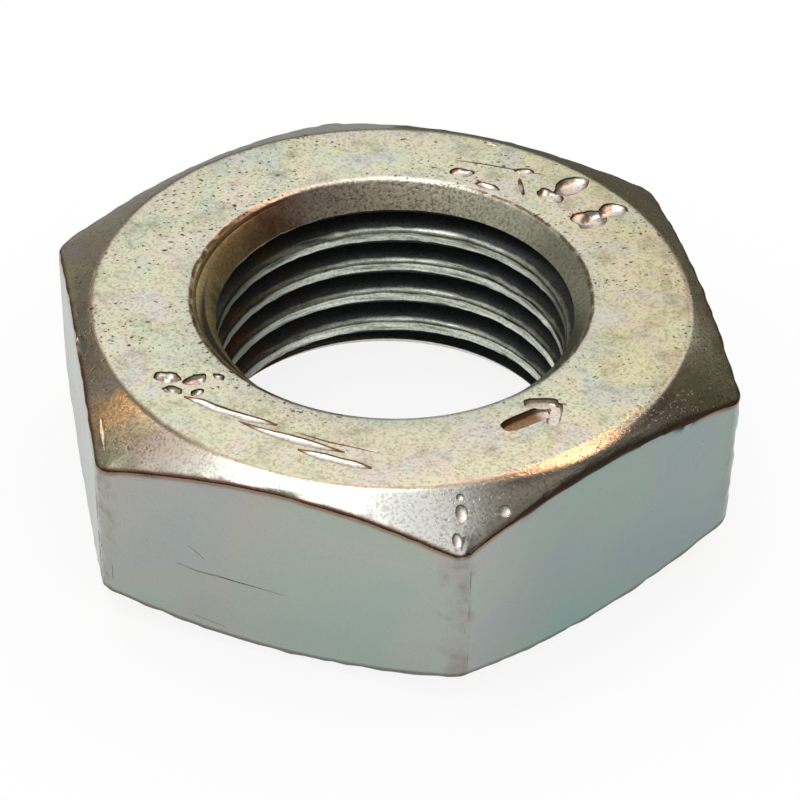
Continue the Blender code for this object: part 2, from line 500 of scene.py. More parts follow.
# %% Make the tubes that cut the scratches
def scratch_tool(name, places, reach, lean=0.6):
    """A tube through places in millimetres. Reach gives half the groove's width at each place."""
    start()
    bpy.ops.mesh.primitive_plane_add(size=0.01 * MM, location=[value * MM for value in places[0]])
    bpy.ops.object.transform_apply()
    edit()
    bpy.ops.mesh.merge(type="CENTER")
    for before, after in zip(places, places[1:]):
        step = [(new - old) * MM for old, new in zip(before, after)]
        bpy.ops.mesh.extrude_vertices_move(TRANSFORM_OT_translate={"value": step})
    bpy.ops.object.mode_set(mode="OBJECT")
    bpy.ops.object.convert(target="CURVE")
    path = bpy.context.object
    path.data.bevel_depth = MM / math.sqrt(1 - lean * lean)
    path.data.bevel_resolution = 4
    path.data.use_fill_caps = True
    points = path.data.splines[0].points
    forwards = (points[0].co.xyz - Vector(places[0]) * MM).length < 0.001 * MM
    for point, half in zip(points if forwards else reversed(points), reach):
        point.radius = half
    bpy.ops.object.convert(target="MESH")
    keep_tool(name)


def on_bearing(path, lean=0.6):
    """Lifts each (x, y, half width) so that its tube meets the bearing face with that half width."""
    lift = lean / math.sqrt(1 - lean * lean)
    return [(x, y, THICKNESS / MM + half * lift) for x, y, half in path], [half for x, y, half in path]


gouges = {
    "gouge_first": [
        (-5.66, -3.22, 0.05), (-5.31, -3.47, 0.14), (-4.99, -3.78, 0.16), (-4.65, -4.01, 0.13),
        (-4.33, -4.26, 0.16), (-3.95, -4.47, 0.12), (-3.60, -4.68, 0.05),
    ],
    "gouge_second": [
        (-4.50, -4.36, 0.03), (-4.15, -4.67, 0.09), (-3.82, -4.93, 0.13), (-3.49, -5.14, 0.16),
        (-3.17, -5.35, 0.17), (-2.84, -5.55, 0.14), (-2.56, -5.73, 0.10), (-2.19, -5.94, 0.04),
    ],
    "gouge_third": [
        (-3.27, -5.65, 0.05), (-2.97, -5.85, 0.13), (-2.67, -6.05, 0.17), (-2.36, -6.23, 0.14),
        (-2.04, -6.42, 0.16), (-1.66, -6.62, 0.05),
    ],
    "gouge_fine": [
        (-3.34, -4.92, 0.02), (-2.91, -5.22, 0.04), (-2.48, -5.52, 0.045), (-2.04, -5.74, 0.04),
        (-1.60, -6.00, 0.03), (-1.20, -6.18, 0.01),
    ],
}
for name, path in gouges.items():
    scratch_tool(name, *on_bearing(path))
back_scratch = [
    (2.81, 5.65, 0.02), (3.40, 5.40, 0.034), (4.00, 5.10, 0.036), (4.55, 4.82, 0.034), (5.04, 4.57, 0.02),
]
scratch_tool("back_scratch", *on_bearing(back_scratch, 0.2), 0.2)

# %% [markdown]
# The left chamfer and the front left flat have a few finer scratches, cut in the same way. Only the places
# differ: on the chamfer they follow the slope, and on the flat they are given by their run along the flat
# and their height.


# %% Make the tubes for the chamfer and the flat
def on_upper_chamfer(x, y, above=0):
    """The place on the upper chamfer over x and y, or a little above it. All values are in millimetres."""
    radius = math.hypot(x, y)
    tilt = math.sin(CHAMFER_ANGLE) / radius
    level = (THICKNESS + BEARING_RADIUS * math.tan(CHAMFER_ANGLE)) / MM - radius * math.tan(CHAMFER_ANGLE)
    return x + above * tilt * x, y + above * tilt * y, level + above * math.cos(CHAMFER_ANGLE)


chamfer_scratches = {
    "scratch_left": [(-8.12, 1.34, 0.02), (-7.86, 1.22, 0.05), (-7.60, 1.10, 0.03)],
    "scratch_left_front": [(-7.69, -3.24, 0.02), (-7.69, -3.66, 0.07), (-7.71, -4.19, 0.02)],
}
for name, path in chamfer_scratches.items():
    places = [on_upper_chamfer(x, y, half * 0.75) for x, y, half in path]
    scratch_tool(name, places, [half for x, y, half in path])


def on_flat(direction, path, lean=0.6):
    """The same for a flat in a direction in degrees, with (along, height, half width) for each place."""
    outward = Vector((math.cos(math.radians(direction)), math.sin(math.radians(direction)), 0))
    along = Vector((-outward.y, outward.x, 0))
    lift = lean / math.sqrt(1 - lean * lean)
    places = []
    for run, height, half in path:
        place = outward * (ACROSS_FLATS / 2 / MM + half * lift) + along * run
        places.append((place.x, place.y, height))
    return places, [half for run, height, half in path]


front_scratches = [
    [
        (-2.60, 2.33, 0.008), (-2.07, 2.22, 0.020), (-1.50, 2.22, 0.024),
        (-1.01, 2.19, 0.020), (-0.40, 2.17, 0.016), (0.20, 2.13, 0.006),
    ],
    [(-2.28, 2.98, 0.006), (-2.05, 2.82, 0.014), (-1.85, 2.64, 0.006)],
    [(-2.15, 0.75, 0.006), (-1.75, 0.68, 0.014), (-1.36, 0.61, 0.006)],
]
for number, path in enumerate(front_scratches):
    scratch_tool(f"front_scratch_{number}", *on_flat(-120, path))

# %% [markdown]
# ## Nicks
#
# The edges took knocks from other parts in the drum where the nuts were plated. Each nick is where a little
# ball has hit the edge. The dents near the front corner are flattened balls that face along the slope of
# the chamfer, because one that lies level would undercut it.


# %% Make the balls that nick the edges
def nick(name, place, size, stretch=(1, 1, 1), facing=(0, 0, 1)):
    start()
    turned = Vector(facing).to_track_quat("Z", "Y").to_euler()
    centre = [value * MM for value in place]
    bpy.ops.mesh.primitive_ico_sphere_add(subdivisions=3, radius=1, location=centre, rotation=turned)
    bpy.context.object.scale = [size * MM * value for value in stretch]
    keep_tool(name)


nick("nick_arris", (-4.52, -7.12, 5.28), 0.22, (1.5, 1, 0.8))
nick("nick_left_chamfer", (-7.96, -0.55, 5.32), 0.20, (1, 2.2, 0.7))
nick("nick_left_corner_foot", (-7.98, -4.62, 0.12), 0.26, (1, 1, 1.4))
nick("nick_left_corner_foot_b", (-7.6, -5.05, 0.02), 0.2)
nick("nick_front_foot", (-0.35, -9.32, 0.25), 0.3, (1, 1, 1.6))
nick("nick_front_edge", (0.25, -9.2, 2.2), 0.13, (1, 1, 2.2))
corner_dents = [
    (0.20, -7.84, 0.11, 1.0), (0.17, -8.20, 0.16, 1.5), (1.20, -8.22, 0.17, 1.0), (-0.05, -8.80, 0.13, 1.7),
]
for number, (x, y, size, long) in enumerate(corner_dents):
    across_slope = Vector((x, y, 0)).normalized() * math.sin(CHAMFER_ANGLE)
    facing = across_slope + Vector((0, 0, math.cos(CHAMFER_ANGLE)))
    nick(f"corner_dent_{number}", on_upper_chamfer(x, y, 0.02), size, (1, long, 0.5), facing)
nick("nick_foot_a", (-3.3, -7.4, 0.0), 0.15, (1.6, 1, 1))
nick("nick_foot_b", (2.9, -7.5, 0.1), 0.15, (1.4, 1, 1))

# %% [markdown]
# One Boolean takes the whole collection as its tool. It is quicker than one for each mark, and marks that
# overlap, such as the three strokes of the arrow, come out as one.

# %% Cut all the marks
start()
nut.select_set(True)
bpy.context.view_layer.objects.active = nut
bpy.ops.object.modifier_add(type="BOOLEAN")
strike = nut.modifiers[-1]
strike.operation = "DIFFERENCE"
strike.solver = "EXACT"
strike.operand_type = "COLLECTION"
strike.collection = marks
bpy.ops.object.modifier_apply(modifier=strike.name)
for tool in list(marks.objects):
    bpy.data.objects.remove(tool, do_unlink=True)
bpy.data.collections.remove(marks)
print("faces with the marks cut:", len(nut.data.polygons))

# %% [markdown]
# ## Wear on the edges
#
# The edges and corners took a thousand small knocks, the rim of the countersink was left ragged by its
# tool, and the crests of the thread are a little torn. Each place gets a vertex group, and a Displace
# modifier that works on that group alone presses it in with a cloud pattern. This comes after the last
# Boolean, which needs clean shapes. The pattern also lifts some places by a hundredth of a millimetre, and
# what would stand past the CAD model's box is set back to it.


# %% Press the worn edges in
def worn(vert):
    place = vert.co
    drop = (place.xy.length - BEARING_RADIUS) * math.tan(CHAMFER_ANGLE)
    below_chamfer = THICKNESS / 2 - drop - abs(place.z - THICKNESS / 2)
    turns = (0, math.pi / 3, -math.pi / 3)
    across = max(abs(place.x * math.cos(turn) + place.y * math.sin(turn)) for turn in turns)
    edge_of_flat = abs(below_chamfer) < 0.12 * MM and across > 7.9 * MM
    corner = place.xy.length > 9.08 * MM
    return edge_of_flat or corner


def ragged(vert):
    radius = (vert.co - BORE_OFFSET).xy.length
    return 5.02 * MM < radius < 5.12 * MM and vert.co.x < -1.5 * MM


def thread_crest(vert):
    return (vert.co - BORE_OFFSET).xy.length < CREST_RADIUS + 0.06 * MM


# Each kind of wear has its test, its depth and grain in millimetres, and the level of the pattern that is left.
places_of_wear = [
    ("worn_edges", worn, 0.08, 0.45, 0.32),
    ("ragged_lip", ragged, 0.05, 0.18, 0.3),
    ("torn_crests", thread_crest, 0.06, 0.22, 0.5),
]
for name, test, depth, grain, level in places_of_wear:
    edit()
    print(name + ":", pick("verts", test), "vertices")
    bpy.ops.object.vertex_group_add()
    bpy.ops.object.vertex_group_assign()
    bpy.ops.object.mode_set(mode="OBJECT")
    nut.vertex_groups[-1].name = name
    knocks = bpy.data.textures.new(name, "CLOUDS")
    knocks.noise_scale = grain * MM
    knocks.noise_depth = 2
    bpy.ops.object.modifier_add(type="DISPLACE")
    press = nut.modifiers[-1]
    press.texture = knocks
    press.texture_coords = "LOCAL"
    press.mid_level = level
    press.strength = -depth * MM
    press.vertex_group = name
    bpy.ops.object.modifier_apply(modifier=press.name)
for vert in nut.data.vertices:
    for axis in range(2):
        vert.co[axis] = max(cad_box[0][axis], min(vert.co[axis], cad_box[1][axis]))
box = [max(abs(vert.co[axis]) for vert in nut.data.vertices) / MM for axis in range(2)]
print("reach after the wear, mm:", [round(value, 3) for value in box])

# %% [markdown]
# ## Smooth shading
#
# Faces that meet at less than 30 degrees are shaded as one surface. Weighted normals keep the large flats
# flat.

# %% Shade the nut
start()
nut.select_set(True)
bpy.context.view_layer.objects.active = nut
bpy.ops.object.shade_smooth_by_angle(angle=math.radians(30))
bpy.ops.object.modifier_add(type="WEIGHTED_NORMAL")
nut.modifiers[-1].keep_sharp = True
bpy.ops.object.modifier_apply(modifier=nut.modifiers[-1].name)
print("triangles:", sum(len(face.vertices) - 2 for face in nut.data.polygons))

# %% [markdown]
# ## The finish
#
# The nut is zinc-plated steel. Its plating was dipped in a chromate bath, which leaves a clear film so thin
# that it shows faint colours, as oil on water does. What that gives the eye: a satin metal, sandy yellow
# with touches of pink, lilac and green where the steel was machined, cooler and smoother where the bar was
# drawn, and brown along edges and in the marks, where the plating is thin. The grooves of the thread are
# painted nearly black as shade, and so is a thin line along the foot of the flats. A warm glint on the left
# chamfer and bright dents near the front corner are painted light.
#
# Everything is told apart by its place in millimetres, so the pattern stays on the metal from every side.
# Colours are written as sRGB hex values, as a colour picker shows them, and one function turns them into
# the linear values that Blender works with. One more function adds a node with its settings. It leaves
# values and links to a third one, which also serves the shader at the end.

# %% Define the colour function and the function that adds a node
zinc = bpy.data.materials.new("zinc_plated_steel")
zinc.use_nodes = True


def colour(text):
    """A hex sRGB colour as linear red, green, blue and alpha."""
    parts = [int(text[first : first + 2], 16) / 255 for first in (1, 3, 5)]
    return [part / 12.92 if part <= 0.04045 else ((part + 0.055) / 1.055) ** 2.4 for part in parts] + [1.0]


def feed(node, inputs):
    """Gives each input a value, or links it to another node or to one of its outputs."""
    for name, value in inputs.items():
        if isinstance(value, bpy.types.Node):
            value = next(output for output in value.outputs if output.enabled)
        if isinstance(value, bpy.types.NodeSocket):
            node.id_data.links.new(value, node.inputs[name])
        else:
            node.inputs[name].default_value = value


def add(kind, inputs=None, stops=None, tree=zinc.node_tree, **settings):
    """Adds a node with its settings, its inputs and, for a colour ramp, its stops."""
    made = tree.nodes.new("ShaderNode" + kind)
    for name, value in settings.items():
        setattr(made, name, value)
    feed(made, inputs or {})
    if stops:
        elements = made.color_ramp.elements
        while len(elements) < len(stops):
            elements.new(0.5)
        for element, (position, shade) in zip(elements, stops):
            element.position = position
            element.color = colour(shade)
    return made


# %% [markdown]
# The distances come first, all in millimetres: from the axis, from the axis of the bore, from the middle
# plane, from the middle to the nearest pair of flats, and from the two cones, the chamfer and the
# countersink.

# %% Measure the place on the nut
metres = add("TexCoord").outputs["Object"]
place = add("Mapping", {"Vector": metres, "Scale": (1 / MM, 1 / MM, 1 / MM)})
x, y, z = add("SeparateXYZ", {0: place}).outputs
plan = add("VectorMath", {0: place, 1: (1, 1, 0)}, operation="MULTIPLY")
radius = add("VectorMath", {0: plan}, operation="LENGTH")
from_bore = add("VectorMath", {0: plan, 1: BORE_OFFSET / MM}, operation="SUBTRACT")
bore_radius = add("VectorMath", {0: from_bore}, operation="LENGTH")
from_middle = add("Math", {0: z, 1: THICKNESS / 2 / MM}, operation="SUBTRACT")
height = add("Math", {0: from_middle}, operation="ABSOLUTE")
across = None
for direction in (0, 60, 120):
    normal = (math.cos(math.radians(direction)), math.sin(math.radians(direction)), 0)
    reach = add("VectorMath", {0: place, 1: normal}, operation="DOT_PRODUCT")
    reach = add("Math", {0: reach}, operation="ABSOLUTE")
    across = add("Math", {0: across, 1: reach}, operation="MAXIMUM") if across else reach
chamfer_slope = math.tan(CHAMFER_ANGLE)
chamfer_level = (THICKNESS / 2 + BEARING_RADIUS * chamfer_slope) / MM
over_chamfer = add("Math", {0: radius, 1: chamfer_slope, 2: height}, operation="MULTIPLY_ADD")
over_chamfer = add("Math", {0: over_chamfer, 1: chamfer_level}, operation="SUBTRACT")
cone_slope = math.tan(MOUTH_HALF_ANGLE)
cone_level = (MOUTH_RADIUS - THICKNESS / 2 * cone_slope) / MM
outside_cone = add("Math", {0: height, 1: -cone_slope, 2: bore_radius}, operation="MULTIPLY_ADD")
outside_cone = add("Math", {0: outside_cone, 1: cone_level}, operation="SUBTRACT")
print("nodes that measure the place:", len(zinc.node_tree.nodes))

# %% [markdown]
# A few things sit round one place: a warm glint is painted on the left chamfer, the rim was polished soft on
# the upper front right, dirt stayed in the arrow's stem, and the cone's grain glints near its middle. So the
# distances from these places, or from lines through them, are measured too.

# %% Measure the distances from single places
# The middle of the warm glint that is painted on the left chamfer, a copper reflection of a lamp.
PAINTED_GLINT_PLACE = (-7.4, -3.2, 5.2)
STEM_PLACE = (2.15, -5.48, 5.4)
SOFT_RIM_PLACE = (3.75, -6.5, 5.5)
GLINTS_AT_X = 0.9
from_painted_glint = add("VectorMath", {0: place, 1: PAINTED_GLINT_PLACE}, operation="DISTANCE")
from_stem = add("VectorMath", {0: place, 1: STEM_PLACE}, operation="DISTANCE")
from_soft_rim = add("VectorMath", {0: place, 1: SOFT_RIM_PLACE}, operation="DISTANCE")
from_glints = add("Math", {0: x, 1: GLINTS_AT_X}, operation="SUBTRACT")
from_glints = add("Math", {0: from_glints}, operation="ABSOLUTE")
from_side_corners = add("Math", {0: y}, operation="ABSOLUTE")
print("nodes with the single places:", len(zinc.node_tree.nodes))

# %% [markdown]
# ## Patterns
#
# All the patterns are noise, made by real sizes: the scale is the number of patches in a millimetre. The
# film drifts over one or two millimetres, and over four on the drawn sides. Mottle and clouds are a few
# tenths wide. Grain and flecks are finer than a tenth, and drawn a little coarser than they are, to show.

# %% Make the noise patterns
# Each pattern has its patches per millimetre, its detail, its roughness and its distortion.
patterns = {
    "wobble": (1.6, 4, 0.5, 0),
    "drift": (0.62, 3, 0.5, 0.6),
    "mottle": (2.6, 5, 0.62, 0),
    "clouds": (0.9, 6, 0.68, 0),
    "side_drift": (0.24, 2, 0.5, 0.5),
    "corner_patches": (1.3, 5, 0.6, 0),
    "grime_drift": (1.1, 4, 0.5, 0),
    "uneven": (7.0, 2, 0.5, 0),
    "crowding": (0.45, 2, 0.5, 0),
    "grain": (13.0, 3, 0.5, 0),
    "flecks": (12.0, 4, 0.7, 0),
}
noise = {}
for name, (scale, detail, roughness, distortion) in patterns.items():
    look = {"Scale": scale, "Detail": detail, "Roughness": roughness, "Distortion": distortion}
    noise[name] = add("TexNoise", {"Vector": place, **look})
print("noise patterns:", len(noise))

# %% [markdown]
# The crests of the thread have streaks that follow it, so their noise is read round the axis. The same
# angle tells how far along the pitch a place is, and with it crest from groove. Thin lines would look drawn
# by a machine, so the distances that end in a line are first made to wobble.

# %% Follow the thread and make some distances wobble
around = add("Math", {0: y, 1: x}, operation="ARCTAN2")
along_thread = add("CombineXYZ", {0: around, 2: z})
along_thread = add("Mapping", {"Vector": along_thread, "Scale": (3.0, 1.0, 9.0)})
streaks = add("TexNoise", {"Vector": along_thread, "Scale": 1.0, "Detail": 5.0, "Roughness": 0.65})
CREST_ALONG_PITCH = 0.615
pitches_up = add("Math", {0: around, 1: 1 / (2 * math.pi), 2: z}, operation="MULTIPLY_ADD")
pitches_up = add("Math", {0: pitches_up, 1: THREAD_START / (2 * math.pi)}, operation="SUBTRACT")
ragged_up = add("Math", {0: streaks, 1: 0.16, 2: pitches_up}, operation="MULTIPLY_ADD")
along_pitch = add("Math", {0: ragged_up}, operation="FRACT")
from_crest = add("Math", {0: along_pitch, 1: CREST_ALONG_PITCH}, operation="SUBTRACT")
from_crest = add("Math", {0: from_crest}, operation="ABSOLUTE")
rim_radius = add("Math", {0: noise["wobble"], 1: 0.10, 2: radius}, operation="MULTIPLY_ADD")
corner_radius = add("Math", {0: noise["wobble"], 1: 0.5, 2: radius}, operation="MULTIPLY_ADD")
lip_radius = add("Math", {0: noise["wobble"], 1: 0.12, 2: bore_radius}, operation="MULTIPLY_ADD")
glint_reach = add("Math", {0: noise["mottle"], 1: 1.6, 2: from_painted_glint}, operation="MULTIPLY_ADD")
print("nodes with the thread:", len(zinc.node_tree.nodes))

# %% [markdown]
# ## Masks
#
# Each mask is a soft step on one of these distances or patterns. Its row gives where the step begins and
# ends, and the mask's value before and after it. Most masks are 1 on their own part of the nut and 0
# elsewhere.

# %% Make the soft steps
soft_steps = {
    "chamfered": (rim_radius, 7.53, 7.62, 0, 1),
    "steep": (over_chamfer, -0.03, -0.11, 0, 1),
    "by_flat": (across, 7.72, 7.79, 0, 1),
    "by_corner": (radius, 8.98, 9.03, 0, 1),
    "sunk_in_slope": (over_chamfer, -0.02, -0.035, 0, 1),
    "past_rim": (radius, 7.66, 7.74, 0, 1),
    "off_flat": (across, 7.72, 7.79, 1, 0),
    "in_bore": (bore_radius, 5.10, 5.03, 0, 1),
    "past_cone": (outside_cone, 0.01, 0.04, 0, 1),
    "within_root": (bore_radius, 5.005, 4.985, 0, 1),
    "below_mouth": (height, 2.44, 2.34, 0, 1),
    "near_arris": (over_chamfer, -0.20, -0.08, 0, 1),
    "near_flat": (across, 7.87, 7.95, 0, 0.8),
    "rim_start": (rim_radius, 7.50, 7.56, 0, 1),
    "rim_end": (rim_radius, 7.66, 7.58, 0, 1),
    "leftward": (x, 3.0, -1.0, 0.15, 0.6),
    "near_bore": (bore_radius, 5.75, 5.15, 0, 0.6),
    "at_corner": (corner_radius, 9.24, 9.42, 0, 1),
    "corner_patches": (noise["corner_patches"], 0.46, 0.62, 0.15, 0.85),
    "lip_start": (lip_radius, 5.06, 5.12, 0, 1),
    "lip_end": (lip_radius, 5.205, 5.16, 0, 1),
    "lip_patches": (noise["mottle"], 0.36, 0.52, 0.35, 0.95),
    "sunk_in_face": (height, 2.746, 2.735, 0, 1),
    "on_ring": (radius, 7.40, 7.32, 0, 1),
    "off_lip": (bore_radius, 5.28, 5.36, 0, 1),
    "deep": (height, 2.722, 2.70, 0, 1),
    "in_stem": (from_stem, 0.80, 0.45, 0, 1),
    "sandy": (x, 3.0, 6.5, 0, 0.8),
    "rightward": (x, -1.0, 3.0, 0, 1),
    "greyer": (from_side_corners, 4.6, 6.6, 0, 0.85),
    "painted_glint": (glint_reach, 1.55, 1.15, 0, 1),
    "rusty_side": (x, -0.5, -4.0, 0, 1),
    "rust_patches": (noise["grime_drift"], 0.42, 0.62, 0, 1),
    "leftmost": (x, -0.8, -3.8, 0, 0.9),
    "groove": (from_crest, 0.15, 0.20, 0, 1),
    "thinned_by_left_flat": (x, -7.85, -7.95, -0.9, -0.5),
    "cleaner": (y, -3.0, -6.5, 1.0, 0.35),
    "glinting": (from_glints, 1.4, 4.2, 1.0, 0.35),
    "round_soft_rim": (from_soft_rim, 3.0, 2.2, 0, 1),
    "outer_rim": (radius, 7.24, 7.34, 0, 1),
    "inner_rim": (radius, 7.90, 7.78, 0, 1),
    "cone_gloss": (x, -4.5, -0.5, 0.42, 0.28),
}
mask = {}
for name, (distance, begins, ends, before, after) in soft_steps.items():
    limits = {0: distance, 1: begins, 2: ends, 3: before, 4: after}
    mask[name] = add("MapRange", limits, interpolation_type="SMOOTHSTEP")
print("soft steps:", len(mask))

# %% [markdown]
# Many parts of the nut need two or three conditions at once: a mark, for example, is sunk in the face, on
# the ring and off the lip. Masks that are multiplied mean "and", and the greater of two masks means "or".

# %% Multiply the masks
mask["outside"] = add("Math", {0: mask["by_flat"], 1: mask["by_corner"]}, operation="MAXIMUM")
products = {
    "side": ("steep", "outside"),
    # Dents in the chamfer near the front corner, which get a painted highlight.
    "painted_dent_highlight": ("sunk_in_slope", "past_rim", "off_flat"),
    "in_thread": ("past_cone", "within_root", "below_mouth"),
    "thread_groove": ("in_thread", "groove"),
    "arris_line": ("near_arris", "near_flat"),
    "rim_line": ("rim_start", "rim_end", "leftward"),
    "corner": ("at_corner", "corner_patches"),
    "lip": ("lip_start", "lip_end", "lip_patches"),
    "marked": ("sunk_in_face", "on_ring", "off_lip"),
    "mark_floor": ("deep", "marked"),
    "rusty": ("rusty_side", "rust_patches"),
    "soft_rim": ("round_soft_rim", "outer_rim", "inner_rim"),
}
for name, (first, *others) in products.items():
    mask[name] = mask[first]
    for other in others:
        mask[name] = add("Math", {0: mask[name], 1: mask[other]}, operation="MULTIPLY")
upper = add("MapRange", {0: z, 1: 1.0, 2: 3.0})
low_down = add("MapRange", {0: z, 1: 4.6, 2: 0.8})
print("masks:", len(mask))

# %% [markdown]
# ## The film's colours
#
# A chromate film drains off unevenly, so its colour drifts over one or two millimetres and again over a few
# tenths. The two patterns at these scales each run through a ramp of the film's colours. Clouds then make
# it duller in places, and it is sandier to the right. On the drawn sides the film is thinner and cooler,
# and the sides are made darker and bluer low down and to the right.

# %% Colour the film
broad_film = add(
    "ValToRGB",
    {0: noise["drift"]},
    [(0.30, "#D6D9E2"), (0.41, "#DFE4D2"), (0.49, "#EEE8C6"), (0.57, "#F3E3D0"), (0.70, "#E5E0E4")],
)
mottle_film = add(
    "ValToRGB",
    {0: noise["mottle"]},
    [(0.30, "#D2D6CC"), (0.42, "#EEEBCB"), (0.50, "#EAE6D1"), (0.58, "#F1E0D0"), (0.70, "#DBDDE4")],
)
cloud_shade = add("ValToRGB", {0: noise["clouds"]}, [(0.36, "#DADAD6"), (0.47, "#FAFAFA"), (0.55, "#FFFFFF")])
side_film = add(
    "ValToRGB",
    {0: noise["side_drift"]},
    [(0.30, "#A2AFA5"), (0.44, "#A9B0A4"), (0.53, "#ADADA4"), (0.62, "#ABABA7"), (0.74, "#A4ABA8")],
)
face = add("Mix", {0: 0.45, 6: broad_film, 7: mottle_film}, data_type="RGBA")
for share, tint in ((1.0, colour("#F9FFFD")), (1.0, cloud_shade), (mask["sandy"], colour("#F1EFE0"))):
    face = add("Mix", {0: share, 6: face, 7: tint}, data_type="RGBA", blend_type="MULTIPLY")
for share, tint in ((mask["rightward"], colour("#DBECF0")), (low_down, colour("#EBF0F2"))):
    side_film = add("Mix", {0: share, 6: side_film, 7: tint}, data_type="RGBA", blend_type="MULTIPLY")
print("nodes with the film:", len(zinc.node_tree.nodes))

# %% [markdown]
# ## Chamfers, countersink and thread
#
# The chamfers were turned, and their film is thicker and olive to brown, greyer towards the front and back
# corners. A warm patch on the left chamfer is a painted glint, standing in for the copper reflection of a
# warm lamp. The countersink goes from olive on the left over reddish brown to grey, as if it had stood
# tilted in the bath. The crests of the thread are clean and grey green, with streaks along the thread, and
# are made darker towards the left. The grooves are painted nearly black as shade, with a touch of blue,
# and with rust towards the left.

# %% Colour the turned and threaded parts
chamfer_film = add(
    "ValToRGB",
    {0: noise["drift"]},
    [(0.35, "#CFCDB2"), (0.48, "#D8D1B8"), (0.56, "#D2C2AE"), (0.66, "#CCC4BE")],
)
# Greyer towards the corners, and a warm patch that is a painted glint on the left chamfer.
for name, tint in (("greyer", "#DCDEDA"), ("painted_glint", "#FFDDB4")):
    chamfer_film = add("Mix", {0: mask[name], 6: chamfer_film, 7: colour(tint)}, data_type="RGBA")
left_to_right = add("MapRange", {0: x, 1: -5.1, 2: 5.1})
left_to_right = add("Math", {0: noise["wobble"], 1: 0.24, 2: left_to_right}, operation="MULTIPLY_ADD")
cone_film = add(
    "ValToRGB",
    {0: left_to_right},
    [
        (0.10, "#D8D0A2"),
        (0.28, "#C8B083"),
        (0.38, "#98715E"),
        (0.52, "#C2B5AA"),
        (0.78, "#E0D8C5"),
        (0.98, "#DDE0D0"),
    ],
)
lip_film = add(
    "ValToRGB",
    {0: left_to_right},
    [(0.26, "#6E4A36"), (0.40, "#F4F4F1"), (0.80, "#EFEDE6"), (0.93, "#7C5E4A")],
)
streak_film = add("ValToRGB", {0: streaks}, [(0.34, "#5C5F59"), (0.45, "#B6BBAF"), (0.60, "#E6EADF")])
streak_film = add("Mix", {0: mask["leftmost"], 6: streak_film, 7: colour("#55594D")}, data_type="RGBA")
# Painted shade: the grooves of the thread are darkened nearly black and blue grey, with a rust tint to the
# left.
groove_shade_and_rust = add("Mix", {0: mask["rusty"], 6: colour("#585C5E"), 7: colour("#765A42")}, data_type="RGBA")
thread_film = add("Mix", {0: mask["groove"], 6: streak_film, 7: groove_shade_and_rust}, data_type="RGBA")
print("nodes with the turned parts:", len(zinc.node_tree.nodes))

# %% [markdown]
# ## Pits and specks
#
# Under a glass, the plating is full of pits, a tenth of a millimetre wide or less. They come from cells of
# a Voronoi pattern: only where a cell's random colour is high enough does its middle become a pit. Real
# pits crowd together, so a broad noise thins them out elsewhere. The smallest ones are drawn a little
# coarser than they are, to show. The drawn sides, the clean front, the bore and the marks have fewer.

# %% Scatter the pits
uneven_place = add("Mapping", {"Vector": place, "Scale": (0.7, 1.0, 1.0)})
shift = {0: noise["uneven"].outputs["Color"], 1: (0.15, 0.15, 0.15), 2: uneven_place}
uneven_place = add("VectorMath", shift, operation="MULTIPLY_ADD")
pits = None
for cells_per_mm, size, share in ((2.4, 0.15, 0.30), (5.5, 0.23, 0.33), (9.5, 0.28, 0.31)):
    cells = add("TexVoronoi", {"Vector": uneven_place, "Scale": cells_per_mm, "Randomness": 1.0})
    draw = add("SeparateColor", {0: cells.outputs["Color"]}).outputs[0]
    crowded = add("Math", {0: noise["crowding"], 1: 3.0, 2: draw}, operation="MULTIPLY_ADD")
    chance = {0: crowded, 1: 2.50 - share, 2: 2.55 - share}
    chosen = add("MapRange", chance, interpolation_type="SMOOTHSTEP")
    rim_of_pit = {0: cells.outputs["Distance"], 1: size, 2: size / 2}
    spot = add("MapRange", rim_of_pit, interpolation_type="SMOOTHSTEP")
    spot = add("Math", {0: spot, 1: chosen}, operation="MULTIPLY")
    pits = add("Math", {0: pits, 1: spot}, operation="MAXIMUM") if pits else spot
fewer = add("Math", {0: mask["side"], 1: mask["thinned_by_left_flat"], 2: 1.0}, operation="MULTIPLY_ADD")
spared = add("Math", {0: mask["in_bore"], 1: mask["marked"]}, operation="MAXIMUM")
spared = add("MapRange", {0: spared, 3: 1.0, 4: 0.3})
for share in (fewer, mask["cleaner"], spared):
    pits = add("Math", {0: pits, 1: share}, operation="MULTIPLY")
pit_shade = add("Math", {0: pits, 1: 0.85}, operation="MULTIPLY")
print("nodes with the pits:", len(zinc.node_tree.nodes))

# %% [markdown]
# Where the metal was turned or struck, it is broken into bright and dark flecks. They are strongest in the
# middle of the cone, and weaker in the thread, in the marks, on the soft rim and on the painted glint.

# %% Scatter the flecks
grain_shade = add("ValToRGB", {0: noise["grain"]}, [(0.36, "#DCDCD7"), (0.52, "#FFFFFF")])
fleck_shade = add("ValToRGB", {0: noise["flecks"]}, [(0.38, "#A7A49C"), (0.47, "#E8E7E1"), (0.56, "#FFFFFF")])
off_thread = add("MapRange", {0: mask["in_thread"], 3: 1.0, 4: 0.3})
flecked = mask["glinting"]
for share in (mask["in_bore"], off_thread):
    flecked = add("Math", {0: flecked, 1: share}, operation="MULTIPLY")
for name, share in (("marked", 0.2), ("soft_rim", 0.45), ("painted_glint", 0.4)):
    layer = add("Math", {0: mask[name], 1: share}, operation="MULTIPLY")
    flecked = add("Math", {0: flecked, 1: layer}, operation="MAXIMUM")
print("nodes with the flecks:", len(zinc.node_tree.nodes))
